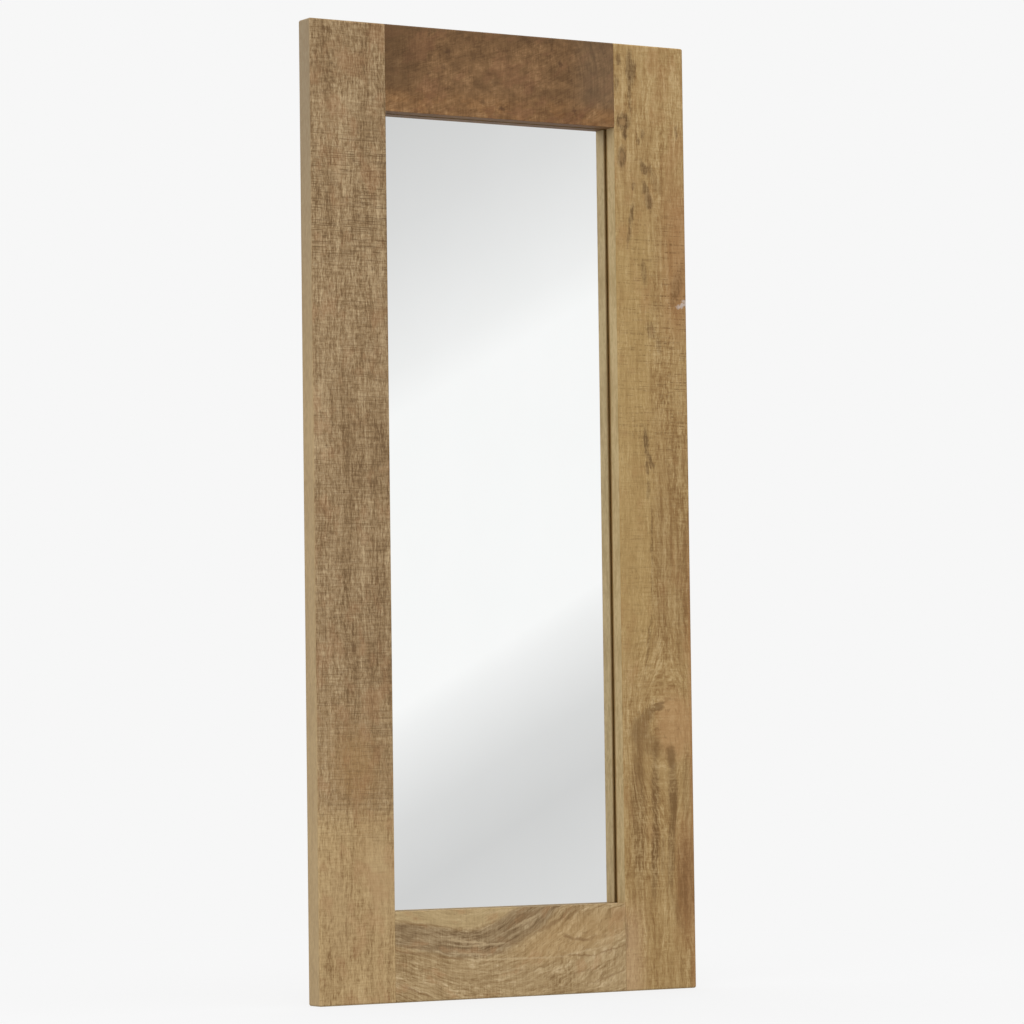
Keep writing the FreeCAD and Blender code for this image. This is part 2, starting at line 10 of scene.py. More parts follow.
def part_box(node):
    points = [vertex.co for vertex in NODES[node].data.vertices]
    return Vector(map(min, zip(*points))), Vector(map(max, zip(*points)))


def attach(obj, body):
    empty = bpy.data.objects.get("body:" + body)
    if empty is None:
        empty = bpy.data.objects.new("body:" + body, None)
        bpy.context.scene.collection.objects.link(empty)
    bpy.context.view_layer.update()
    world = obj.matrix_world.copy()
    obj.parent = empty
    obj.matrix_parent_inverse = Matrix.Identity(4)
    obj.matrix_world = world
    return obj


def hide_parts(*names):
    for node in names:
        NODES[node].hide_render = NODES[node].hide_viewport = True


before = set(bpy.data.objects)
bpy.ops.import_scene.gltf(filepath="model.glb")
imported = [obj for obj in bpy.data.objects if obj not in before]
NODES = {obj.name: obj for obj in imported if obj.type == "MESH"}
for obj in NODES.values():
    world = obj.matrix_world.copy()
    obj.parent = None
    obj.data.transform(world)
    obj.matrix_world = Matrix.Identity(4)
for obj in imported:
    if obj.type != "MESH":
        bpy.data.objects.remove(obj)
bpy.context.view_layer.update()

# The frame: +X to the right, +Y to the wall, +Z up, metres. The boards' coordinates inside the
# materials are in millimetres.
BODY = "frame"
MILLIMETRE = 0.001

# The frame, in millimetres.
FACE = 13.0  # the front and back faces, from the middle of the boards
OPENING_BOTTOM = 101.5
OPENING_TOP = 1001.0
OPENING_MIDDLE = (OPENING_BOTTOM + OPENING_TOP) / 2
HALF_OPENING_HEIGHT = (OPENING_TOP - OPENING_BOTTOM) / 2
RECESS_SIDE = 163.0  # side of the glass's recess, from the middle of the frame
SILVER_DEPTH = 1.8  # how far behind the face of the glass its silver appears

CAMERA_PLACE = Vector((-2.545, -4.201, 0.3055))
CAMERA_HEADING = math.radians(31.353)  # from +Y towards +X
CAMERA_RISE = math.radians(2.863)
CAMERA_ROLL = math.radians(-0.749)
CAMERA_LENS = 151.35  # mm on the 36 mm sensor

BACKDROP = 0.930  # linear white of the room as the camera sees it
REFLECTANCE = 0.875  # of the mirror, to set the levels seen in it


def srgb(red, green, blue):
    """Linear colour of display values from 0 to 255."""

    def linear(value):
        value /= 255
        return value / 12.92 if value <= 0.04045 else ((value + 0.055) / 1.055) ** 2.4

    return (linear(red), linear(green), linear(blue), 1.0)


# ---------------------------------------------------------------- node trees


class Shader:
    """A node tree, with one short call for each kind of node. Values are sockets or numbers."""

    def __init__(self, tree):
        self.tree = tree

    def node(self, kind, **settings):
        node = self.tree.nodes.new(kind)
        for name, value in settings.items():
            setattr(node, name, value)
        return node

    def put(self, socket, value):
        if isinstance(value, bpy.types.NodeSocket):
            self.tree.links.new(value, socket)
        else:
            socket.default_value = value

    def math(self, operation, *values):
        node = self.node("ShaderNodeMath", operation=operation)
        for socket, value in zip(node.inputs, values):
            self.put(socket, value)
        return node.outputs[0]

    def add(self, first, second):
        return self.math("ADD", first, second)

    def subtract(self, first, second):
        return self.math("SUBTRACT", first, second)

    def multiply(self, first, second):
        return self.math("MULTIPLY", first, second)

    def highest(self, *values):
        result = values[0]
        for value in values[1:]:
            result = self.math("MAXIMUM", result, value)
        return result

    def limit(self, value, low, high):
        """The value, held between low and high."""
        return self.math("MINIMUM", self.math("MAXIMUM", value, low), high)

    def swing(self, noise, reach):
        """Noise moved to lie round 0, reach from end to end."""
        return self.multiply(self.subtract(noise, 0.5), reach)

    def vector(self, x, y, z):
        node = self.node("ShaderNodeCombineXYZ")
        for socket, value in zip(node.inputs, (x, y, z)):
            self.put(socket, value)
        return node.outputs[0]

    def length(self, vector):
        node = self.node("ShaderNodeVectorMath", operation="LENGTH")
        self.put(node.inputs[0], vector)
        return node.outputs["Value"]

    def step(self, value, low, high, bottom=0.0, top=1.0):
        """Smooth step of a value, from bottom at low to top at high."""
        node = self.node("ShaderNodeMapRange", interpolation_type="SMOOTHSTEP")
        for socket, entry in zip(node.inputs, (value, low, high, bottom, top)):
            self.put(socket, entry)
        return node.outputs[0]

    def noise(self, x, y, z, size, detail=2.0, rough=0.5, seed=0.0):
        """Noise from 0 to 1 whose blobs are about size[0] by size[1] by size[2]."""
        scaled = [self.multiply(value, 1 / extent) for value, extent in zip((x, y, z), size)]
        scaled[0] = self.add(scaled[0], seed)
        node = self.node("ShaderNodeTexNoise", noise_dimensions="3D")
        self.put(node.inputs["Vector"], self.vector(*scaled))
        self.put(node.inputs["Scale"], 1.0)
        self.put(node.inputs["Detail"], detail)
        self.put(node.inputs["Roughness"], rough)
        return node.outputs["Fac"]

    def curve(self, value, low, high, points):
        """A smooth curve through (value, height) points, for values from low to high."""
        heights = [height for _, height in points]
        bottom, top = min(heights), max(heights)
        node = self.node("ShaderNodeFloatCurve")
        line = node.mapping.curves[0]
        spots = [
            ((place - low) / (high - low), (height - bottom) / (top - bottom))
            for place, height in points
        ]
        line.points[0].location = spots[0]
        line.points[-1].location = spots[-1]
        for spot in spots[1:-1]:
            line.points.new(*spot)
        node.mapping.update()
        share = self.node("ShaderNodeMapRange")
        for socket, entry in zip(share.inputs, (value, low, high, 0.0, 1.0)):
            self.put(socket, entry)
        self.put(node.inputs["Value"], share.outputs[0])
        return self.add(self.multiply(node.outputs[0], top - bottom), bottom)

    def ramp(self, value, stops):
        """Colour ramp through (place, colour) stops."""
        node = self.node("ShaderNodeValToRGB")
        band = node.color_ramp
        while len(band.elements) < len(stops):
            band.elements.new(0.5)
        for element, (place, colour) in zip(band.elements, stops):
            element.position = place
            element.color = colour
        self.put(node.inputs["Fac"], value)
        return node.outputs["Color"]

    def mix(self, share, first, second):
        node = self.node("ShaderNodeMix", data_type="RGBA")
        self.put(node.inputs["Factor"], share)
        self.put(node.inputs[6], first)
        self.put(node.inputs[7], second)
        return node.outputs[2]


class Finish(Shader):
    """A Principled material, with the object's coordinates in millimetres as x, y and z."""

    def __init__(self, name):
        self.material = bpy.data.materials.new(name)
        self.material.use_nodes = True
        super().__init__(self.material.node_tree)
        self.surface = self.tree.nodes["Principled BSDF"]
        place = self.node("ShaderNodeSeparateXYZ")
        coordinates = self.node("ShaderNodeTexCoord").outputs["Object"]
        self.put(place.inputs[0], coordinates)
        self.x, self.y, self.z = [self.multiply(axis, 1000.0) for axis in place.outputs]

    def set(self, **values):
        """Set the shader's own sockets by name, with _ for a space."""
        for name, value in values.items():
            self.put(self.surface.inputs[name.replace("_", " ")], value)

    def relief(self, height, depth, strength=1.0):
        """Bump from a height of 0 to 1 that stands for depth in millimetres."""
        bump = self.node("ShaderNodeBump")
        self.put(bump.inputs["Height"], height)
        bump.inputs["Distance"].default_value = depth * MILLIMETRE
        bump.inputs["Strength"].default_value = strength
        self.put(self.surface.inputs["Normal"], bump.outputs[0])


# ---------------------------------------------------------------- wood


class Wood(Finish):
    """Oiled mango wood. across and along are the board's own directions, in millimetres."""

    def __init__(self, name, upright, seed):
        super().__init__(name)
        self.seed = seed
        self.upright = upright
        self.across, self.along = (self.x, self.z) if upright else (self.z, self.x)
        # 1 on the sawn front and back faces, 0 on the planed edges and in the recesses.
        self.sawn = self.step(self.math("ABSOLUTE", self.y), FACE - 1.6, FACE - 0.3)
        self.planed = self.subtract(1.0, self.sawn)
        # The stains of the front face reach the back only faintly.
        self.front = self.subtract(1.0, self.step(self.y, 5 - FACE, FACE - 2))
        self.flow = self.across

    def bend_grain(self, *bends):
        """Shift the grain lines sideways by the bends, and let them waver a little."""
        sway = self.swing(self.grained((60, 200), 2, 0.5, 31), 14)
        ripple = self.swing(self.grained((9, 26), 2, 0.5, 47), 5)
        flow = self.add(self.across, self.add(sway, ripple))
        for bend in bends:
            flow = self.add(flow, bend)
        self.flow = flow

    def grained(self, size, detail=2.0, rough=0.5, seed=0.0):
        """Noise drawn out along the grain lines: size is (across, along)."""
        extents = (size[0], 1.6 * size[0], size[1])
        place = (self.flow, self.y, self.along)
        return self.noise(*place, extents, detail, rough, self.seed + seed)

    def crossed(self, size, detail=2.0, rough=0.5, seed=0.0):
        """Noise square to the board, whatever its grain lines do: size is (across, along)."""
        extents = (size[0], 2 * size[0], size[1])
        place = (self.across, self.y, self.along)
        return self.noise(*place, extents, detail, rough, self.seed + seed)

    def strokes(self, places, edge=0.45, ragged=3.0):
        """Ragged strokes, each (x and z of one end, x and z of the other, thickness, strength)."""
        wobble = self.swing(self.grained((2.6, 9), 3, 0.65, 83), 2 * ragged)
        drawn = self.swing(self.grained((3.4, 7), 3, 0.65, 89), 5 * ragged)
        shifts = (wobble, drawn) if self.upright else (drawn, wobble)
        place = self.vector(self.add(self.x, shifts[0]), 0.0, self.add(self.z, shifts[1]))
        result = 0.0
        for x_first, z_first, x_last, z_last, thickness, strength in places:
            length = math.hypot(x_last - x_first, z_last - z_first)
            lean = math.atan2(x_last - x_first, z_last - z_first)
            oval = self.node("ShaderNodeMapping", vector_type="TEXTURE")
            self.put(oval.inputs["Vector"], place)
            middle = ((x_first + x_last) / 2, 0, (z_first + z_last) / 2)
            oval.inputs["Location"].default_value = middle
            oval.inputs["Rotation"].default_value = (0, lean, 0)
            oval.inputs["Scale"].default_value = (thickness / 2, 1, length / 2)
            reach = self.length(oval.outputs[0])
            mask = self.step(reach, 1 - edge, 1 + edge, strength, 0.0)
            result = self.math("MAXIMUM", result, mask)
        return self.multiply(result, self.add(self.multiply(self.front, 0.7), 0.3))

    def band(self, value, low, high, edge):
        """1 between low and high, with soft edges."""
        rise = self.step(value, low - edge, low + edge)
        return self.multiply(rise, self.step(value, high - edge, high + edge, 1.0, 0.0))

    def figure(self, streak, layers, drift, fibre, weave, uneven=1.0):
        """Growth layers, slow drift, fibres and the saw's cross weave, about 0.5 on average."""
        value = 0.5
        least, most = 1 - 0.35 * uneven, 1 + 0.25 * uneven
        patches = self.step(self.grained((24, 50), 2, 0.5, 51), 0.40, 0.62, least, most)
        fibre = self.multiply(patches, fibre)
        weave = self.multiply(self.multiply(self.sawn, patches), weave)
        for reach, noise in (
            (layers, self.grained(streak, 4, 0.62, 1)),
            (drift, self.grained((30, 80), 2, 0.5, 5)),
            (fibre, self.grained((1.5, 8), 3, 0.66, 9)),
            (weave, self.crossed((11, 1.7), 3, 0.62, 13)),
        ):
            value = self.add(value, self.swing(noise, reach))
        return value

    def saw_marks(self, pitch, cover=0.5):
        """Dark cross lines left by the band saw, broken up along their length."""
        lines = self.crossed((40, pitch * 0.5), 3, 0.7, 17)
        breaks = self.grained((2.6, 12), 3, 0.66, 61)
        zones = self.grained((38, 60), 2, 0.5, 73)
        marks = self.multiply(self.step(lines, 0.50, 0.66), self.step(breaks, 0.38, 0.60))
        return self.multiply(marks, self.step(zones, cover - 0.16, cover + 0.12))

    def kerfs(self, pitch):
        """Long thin lines that the saw left straight across the board."""
        lines = self.crossed((110, pitch * 0.32), 2, 0.55, 23)
        breaks = self.step(self.crossed((17, 7), 2, 0.6, 29), 0.38, 0.54)
        return self.multiply(self.step(lines, 0.51, 0.61), breaks)

    def pores(self, dense=0.56):
        """Short dark hollows along the grain."""
        return self.step(self.grained((1.0, 6.5), 2, 0.6, 15), dense, dense + 0.13)

    def colour(self, value, *tones):
        """Colour from four tones, dark to light."""
        places = (0.26, 0.44, 0.58, 0.76)
        return self.ramp(value, tuple(zip(places, [srgb(*tone) for tone in tones])))

    def tinted(self, colour, share, tone, most=1.0):
        """The colour with a share of a tone mixed in, at most the given amount."""
        return self.mix(self.multiply(share, most), colour, srgb(*tone))

    def paint_gap_shade(self, colour):
        """Painted shade on the inner edges, where they meet the mirror: a dark band that stands in
        for the shadow in the gap behind the lip.
        """
        if self.upright:
            side = self.math("ABSOLUTE", self.x)
            near_side = self.step(side, RECESS_SIDE + 1, RECESS_SIDE + 3, 1.0, 0.0)
            inner = self.band(self.z, OPENING_BOTTOM - 1.5, OPENING_TOP + 1, 0.5)
            inner = self.multiply(inner, near_side)
        else:
            end = self.math("ABSOLUTE", self.subtract(self.z, OPENING_MIDDLE))
            edge = HALF_OPENING_HEIGHT + 1.25
            inner = self.step(end, edge, edge + 1, 1.0, 0.0)
        inner = self.multiply(inner, self.step(self.y, 2.6, 4.0))
        # The dark tone mixed in here is painted shade of the gap between the wood and the mirror,
        # not a stain.
        return self.tinted(colour, self.multiply(inner, self.planed), (120, 83, 24), 0.85)

    def finished(self, colour, marks, pores, relief=0.7):
        """The material with its sheen and relief. marks and pores are 0 to 1, deepest at 1."""
        # Painted shade of the gap at the mirror goes on first.
        colour = self.paint_gap_shade(colour)
        self.set(Base_Color=colour, Specular_IOR_Level=0.2)
        self.set(Roughness=self.add(0.60, self.multiply(marks, 0.2)))
        hollows = self.add(self.multiply(marks, 0.6), self.multiply(pores, 0.4))
        self.relief(self.subtract(1.0, hollows), 0.4, relief)
        return self.material


def stile_left_wood():
    wood = Wood("stile_left_wood", True, 3.0)
    wood.bend_grain()
    value = wood.figure((3.4, 60), 0.50, 0.14, 1.0, 0.45, 0.4)
    value = wood.add(value, wood.swing(wood.grained((13, 420), 2, 0.5, 91), 0.34))
    value = wood.subtract(value, wood.step(wood.z, 960, 1040, 0.0, 0.035))
    dark = wood.strokes(
        (
            (-234, 1090, -219, 1086, 8, 0.20),
            (-231, 1086, -230, 1062, 6, 0.16),
            (-238, 1062, -216, 1014, 26, 0.07),
            (-205, 1050, -195, 1030, 12, 0.05),
            (-240, 905, -222, 860, 30, 0.05),
            (-214, 268, -186, 236, 40, 0.05),
            (-200, 300, -180, 214, 90, 0.03),
            (-194, 190, -190, 146, 7, 0.16),
            (-189, 156, -187, 144, 4, 0.14),
            (-200, 440, -160, 330, 60, 0.04),
            (-205, 690, -165, 560, 60, 0.05),
            (-213, 88, -200, 40, 18, 0.09),
        ),
        0.6,
        5.0,
    )
    light = wood.strokes(
        (
            (-177, 858, -174, 800, 6, 0.16),
            (-190, 696, -186, 652, 7, 0.16),
            (-244, 700, -240, 575, 26, 0.09),
            (-170, 900, -160, 870, 26, 0.05),
            (-205, 1030, -170, 1000, 40, 0.05),
            (-182, 190, -162, 80, 34, 0.05),
        ),
        0.6,
        4.0,
    )
    value = wood.subtract(wood.add(value, light), dark)
    colour = wood.colour(value, (112, 84, 50), (147, 119, 81), (168, 141, 103), (194, 168, 128))
    # The lowest fifth is a lighter patch that ends in a line straight across the board.
    low = wood.step(wood.z, 194, 232, 1.0, 0.0)
    colour = wood.tinted(colour, wood.step(wood.z, 250, 400, 1.0, 0.0), (176, 142, 92), 0.22)
    lighter = wood.colour(value, (136, 103, 60), (172, 142, 96), (187, 157, 109), (202, 174, 127))
    colour = wood.mix(wood.multiply(low, 0.9), colour, lighter)
    warm = ((-206, 300, -196, 226, 50, 1.0), (-192, 232, -190, 150, 22, 0.5))
    warm = wood.strokes(warm, 0.6, 5.0)
    colour = wood.tinted(colour, warm, (168, 128, 76), 0.40)
    smooth = ((-182, 196, -162, 92, 40, 1.0), (-230, 150, -222, 60, 34, 0.7))
    smooth = wood.strokes(smooth, 0.6, 5.0)
    colour = wood.tinted(colour, smooth, (186, 157, 112), 0.5)
    end_lines = wood.highest(
        wood.multiply(wood.band(wood.z, 221, 223, 1.2), 0.8),
        wood.multiply(wood.band(wood.z, 310.6, 311.8, 0.9), 0.6),
        wood.multiply(wood.band(wood.z, 869, 870, 0.9), 0.4),
        wood.multiply(wood.band(wood.z, 1016.5, 1017.5, 0.9), 0.6),
    )
    end_lines = wood.multiply(end_lines, wood.step(wood.grained((9, 60), 2, 0.5, 21), 0.40, 0.52))
    calm = wood.step(wood.z, 150, 240, 0.25, 1.0)
    end_lines = wood.multiply(end_lines, wood.front)
    sawing = wood.step(wood.z, 970, 1030, 1.0, 0.3)
    sawing = wood.multiply(sawing, wood.highest(wood.band(wood.z, 820, 975, 25), 0.5))
    kerfs = wood.multiply(wood.multiply(wood.kerfs(4.0), sawing), calm)
    marks = wood.multiply(wood.multiply(wood.saw_marks(3.6, 0.42), calm), 0.75)
    marks = wood.highest(marks, end_lines, kerfs)
    marks = wood.multiply(marks, wood.sawn)
    pores = wood.multiply(wood.multiply(wood.pores(0.56), wood.sawn), calm)
    colour = wood.tinted(colour, pores, (98, 72, 42), 0.45)
    colour = wood.tinted(colour, marks, (102, 76, 44), 0.46)
    colour = wood.tinted(colour, wood.multiply(kerfs, wood.sawn), (98, 72, 42), 0.30)
    ruddy = wood.step(wood.grained((22, 36), 3, 0.55, 27), 0.50, 0.68)
    colour = wood.tinted(colour, wood.multiply(ruddy, wood.sawn), (164, 118, 78), 0.26)
    edge = wood.mix(wood.step(wood.z, 1080, 620), srgb(154, 136, 108), srgb(180, 154, 112))
    edge = wood.mix(wood.step(value, 0.35, 0.65, 0.35, 0.0), edge, srgb(146, 122, 88))
    colour = wood.mix(wood.multiply(wood.planed, 0.85), colour, edge)
    return wood.finished(colour, marks, pores)


def stile_right_wood():
    wood = Wood("stile_right_wood", True, 12.0)
    # The grain opens round a knot that lies low in the right half of the board.
    near_knot = wood.step(wood.math("ABSOLUTE", wood.subtract(wood.z, 300)), 16, 130, 1.0, 0.0)
    sideways = ((148, 0), (164, 13), (182, 25), (210, 8), (238, -12), (254, -4))
    wood.bend_grain(wood.multiply(near_knot, wood.curve(wood.x, 148, 254, sideways)))
    value = wood.figure((4.6, 60), 0.75, 0.25, 0.85, 0.40)
    flecks = wood.strokes(
        (
            (175, 1090, 176, 1052, 11, 1.0),
            (181, 1080, 179, 1060, 8, 0.8),
            (174, 1062, 175, 1020, 5, 0.75),
            (159, 1088, 160, 1074, 6, 0.7),
            (156, 1064, 157, 1044, 6, 0.65),
            (164, 1018, 165, 998, 20, 1.0),
            (166, 1000, 168, 987, 6, 1.0),
            (163, 981, 162, 954, 11, 1.0),
            (191.5, 1000, 192, 989, 5, 0.7),
            (185, 993, 186, 982, 4, 0.7),
            (190, 964, 197, 948, 9, 0.8),
            (196, 957, 205, 951, 7, 0.6),
            (193, 938, 196, 922, 8, 0.8),
            (196, 930, 202, 906, 10, 0.8),
            (179, 939, 178, 929, 4, 0.7),
            (177, 912, 173, 887, 6, 0.9),
            (173, 886, 169, 863, 6, 0.7),
            (190, 848, 192, 818, 7, 0.6),
            (239, 1008, 239, 993, 4, 0.7),
            (190, 652, 191, 618, 6, 0.8),
            (192, 624, 200, 604, 7, 0.7),
            (191, 612, 192, 596, 5, 0.7),
            (193, 590, 192, 568, 5, 0.6),
            (198, 775, 201, 757, 12, 0.6),
            (209, 762, 211, 738, 6, 0.45),
            (153, 84, 154, 46, 6, 0.6),
        ),
        0.4,
        4.6,
    )
    hearts = wood.strokes(
        (
            (163, 1012, 165, 1004, 9, 1.3),
            (163, 974, 162, 962, 5, 1.0),
            (199, 771, 201, 761, 6, 1.0),
        ),
        0.3,
        2.0,
    )
    hook = wood.strokes(
        (
            (212, 333, 186, 318, 8, 1.0),
            (197, 327, 176, 306, 13, 0.8),
            (180, 316, 173, 284, 26, 0.80),
            (166, 292, 206, 278, 26, 0.55),
            (217, 283, 222, 254, 13, 1.0),
        ),
        0.4,
        5.0,
    )
    smudges = wood.strokes(
        (
            (205, 953, 214, 926, 12, 0.55),
            (241, 840, 231, 800, 13, 0.85),
            (228, 640, 240, 560, 30, 0.20),
            (197, 556, 196, 440, 3, 0.8),
            (196, 444, 184, 358, 3, 0.6),
            (214, 556, 210, 400, 30, 0.26),
            (240, 545, 236, 400, 22, 0.32),
            (220, 262, 222, 190, 12, 0.95),
            (221, 216, 215, 118, 10, 0.85),
            (197, 280, 196, 190, 10, 0.85),
            (197, 216, 193, 112, 10, 1.0),
            (172, 284, 173, 120, 20, 0.65),
            (206, 180, 205, 130, 6, 0.5),
            (240, 280, 241, 175, 12, 0.35),
            (238, 178, 240, 78, 24, 0.70),
            (241, 156, 246, 118, 8, 0.9),
            (230, 124, 236, 92, 10, 0.7),
            (214, 120, 236, 60, 14, 0.35),
        ),
        0.5,
        4.2,
    )
    upper = wood.step(wood.z, 860, 1010)
    value = wood.add(value, wood.multiply(upper, 0.05))
    colour = wood.colour(value, (136, 101, 54), (160, 127, 77), (176, 145, 94), (196, 167, 118))
    # Yellower on the left, redder along the right edge.
    gold = wood.multiply(wood.step(wood.flow, 186, 212, 1.0, 0.0), wood.band(wood.z, 390, 900, 60))
    colour = wood.tinted(colour, gold, (184, 153, 94), 0.40)
    # Browner beyond a boundary that runs down from the middle of the board to the knot.
    brown = wood.multiply(wood.step(wood.x, 195, 199), wood.band(wood.z, 400, 590, 26))
    brown = wood.multiply(brown, wood.step(value, 0.38, 0.62, 1.0, 0.35))
    colour = wood.tinted(colour, brown, (134, 98, 50), 0.34)
    corner = wood.strokes(((238, 184, 240, 74, 30, 1.0), (244, 90, 246, 0, 16, 0.6)), 0.5, 5.0)
    corner = wood.multiply(corner, wood.step(value, 0.36, 0.66, 1.0, 0.3))
    colour = wood.tinted(colour, corner, (128, 88, 40), 0.52)
    pink = wood.multiply(wood.step(wood.x, 190, 160), wood.step(wood.z, 120, 60))
    colour = wood.tinted(colour, pink, (190, 156, 118), 0.5)
    red = wood.highest(
        wood.multiply(wood.step(wood.x, 200, 240), wood.band(wood.z, 765, 935, 40)),
        wood.multiply(wood.step(wood.x, 240, 249), wood.step(wood.z, 560, 480)),
        wood.multiply(wood.step(wood.x, 216, 238), wood.band(wood.z, 60, 190, 40)),
        wood.multiply(wood.step(wood.grained((26, 50), 3, 0.55, 27), 0.52, 0.72), 0.5),
    )
    colour = wood.tinted(colour, red, (162, 114, 68), 0.55)
    knot = wood.strokes(((220, 342, 230, 268, 50, 1.0), (200, 312, 236, 298, 24, 1.0)), 0.4, 4.0)
    colour = wood.tinted(colour, knot, (180, 138, 90), 0.60)
    dashes = wood.step(value, 0.40, 0.62, 1.0, 0.45)
    colour = wood.tinted(colour, wood.multiply(smudges, dashes), (104, 72, 32), 0.80)
    colour = wood.tinted(colour, hook, (116, 84, 42), 0.72)
    speckled = wood.step(value, 0.36, 0.62, 1.0, 0.55)
    colour = wood.tinted(colour, wood.multiply(flecks, speckled), (88, 60, 27), 0.86)
    colour = wood.tinted(colour, hearts, (156, 122, 76), 0.6)
    zone = wood.multiply(wood.band(wood.z, 610, 905, 50), wood.step(wood.x, 160, 225, 0.65, 1.0))
    zone = wood.highest(zone, wood.multiply(wood.band(wood.z, 340, 610, 60), 0.45), 0.16)
    marks = wood.multiply(wood.multiply(wood.saw_marks(3.8, 0.34), zone), wood.sawn)
    pores = wood.multiply(wood.pores(0.58), wood.sawn)
    colour = wood.tinted(colour, pores, (112, 80, 40), 0.36)
    colour = wood.tinted(colour, marks, (104, 72, 34), 0.72)
    edge = wood.mix(wood.step(value, 0.34, 0.66), srgb(178, 154, 109), srgb(201, 178, 134))
    colour = wood.mix(wood.multiply(wood.planed, 0.85), colour, edge)
    # A small pale chip on the right arris.
    chip = wood.strokes(((236, 795, 254, 798, 5, 1.0), (243, 801, 253, 801, 3, 0.8)), 0.4, 2.0)
    chip = wood.multiply(chip, wood.step(wood.y, 0.3 - FACE, 2 - FACE, 1.0, 0.0))
    colour = wood.tinted(colour, chip, (202, 190, 182), 0.7)
    return wood.finished(colour, marks, pores)


def rail_top_wood():
    wood = Wood("rail_top_wood", False, 25.0)
    slope = ((-156, 46), (-60, 14), (40, -16), (100, -40), (156, -70))
    wood.bend_grain(wood.curve(wood.x, -156, 156, slope))
    value = wood.figure((6.0, 34), 0.30, 0.30, 0.50, 0.45)
    mottle = wood.noise(wood.x, wood.y, wood.z, (16, 20, 11), 4, 0.6, 2.0)
    value = wood.add(value, wood.swing(mottle, 0.75))
    # Curved layers stand upright at the right end.
    rise = wood.multiply(wood.subtract(wood.z, 1046), 0.8)
    reach = wood.length(wood.vector(wood.subtract(wood.x, 40), 0.0, rise))
    arcs = wood.noise(reach, wood.y, wood.z, (2.6, 20, 70), 3, 0.6, 8.0)
    right_end = wood.multiply(wood.step(wood.x, 84, 124), wood.step(wood.z, 1010, 1034))
    value = wood.add(value, wood.multiply(wood.swing(arcs, 0.7), right_end))
    dots = wood.strokes(
        (
            (-71, 1077, -69, 1070, 5, 0.8),
            (-80, 1059, -74, 1054, 5, 0.6),
            (-99, 1050, -95, 1046, 5, 0.6),
            (78, 1074, 81, 1066, 5, 0.9),
            (92, 1068, 93, 1060, 4, 0.5),
            (-28, 1022, -22, 1017, 6, 0.7),
            (-3, 1015, 4, 1011, 6, 1.0),
            (97, 1022, 99, 1012, 4, 0.8),
            (-12, 1046, -6, 1038, 6, 0.5),
        ),
        0.5,
        2.5,
    )
    colour = wood.colour(value, (92, 63, 31), (113, 81, 46), (130, 95, 57), (154, 117, 76))
    patches = wood.step(wood.noise(wood.x, wood.y, wood.z, (20, 30, 9), 3, 0.6, 6.0), 0.44, 0.60)
    lower = wood.multiply(wood.step(wood.z, 1038, 1010), wood.step(patches, 0.0, 1.0, 0.5, 1.0))
    warmer = wood.colour(value, (112, 72, 34), (132, 92, 50), (148, 107, 62), (172, 131, 86))
    colour = wood.mix(wood.multiply(lower, 0.85), colour, warmer)
    ruddy = wood.step(wood.grained((18, 30), 3, 0.55, 27), 0.50, 0.66)
    colour = wood.tinted(colour, ruddy, (134, 90, 58), 0.35)
    left_end = wood.multiply(wood.step(wood.x, -90, -146), wood.step(wood.z, 1016, 1040))
    colour = wood.tinted(colour, left_end, (86, 60, 30), 0.55)
    colour = wood.tinted(colour, right_end, (112, 90, 64), 0.45)
    colour = wood.tinted(colour, wood.step(wood.z, 1092, 1099), (92, 68, 40), 0.35)
    marks = wood.multiply(wood.multiply(wood.saw_marks(5.0, 0.46), 0.6), wood.sawn)
    pores = wood.multiply(wood.pores(0.58), wood.sawn)
    colour = wood.tinted(colour, pores, (72, 46, 20), 0.30)
    colour = wood.tinted(colour, marks, (76, 50, 24), 0.40)
    colour = wood.tinted(colour, dots, (66, 40, 18), 0.55)
    colour = wood.tinted(colour, wood.planed, (112, 84, 54), 0.4)
    return wood.finished(colour, marks, pores)


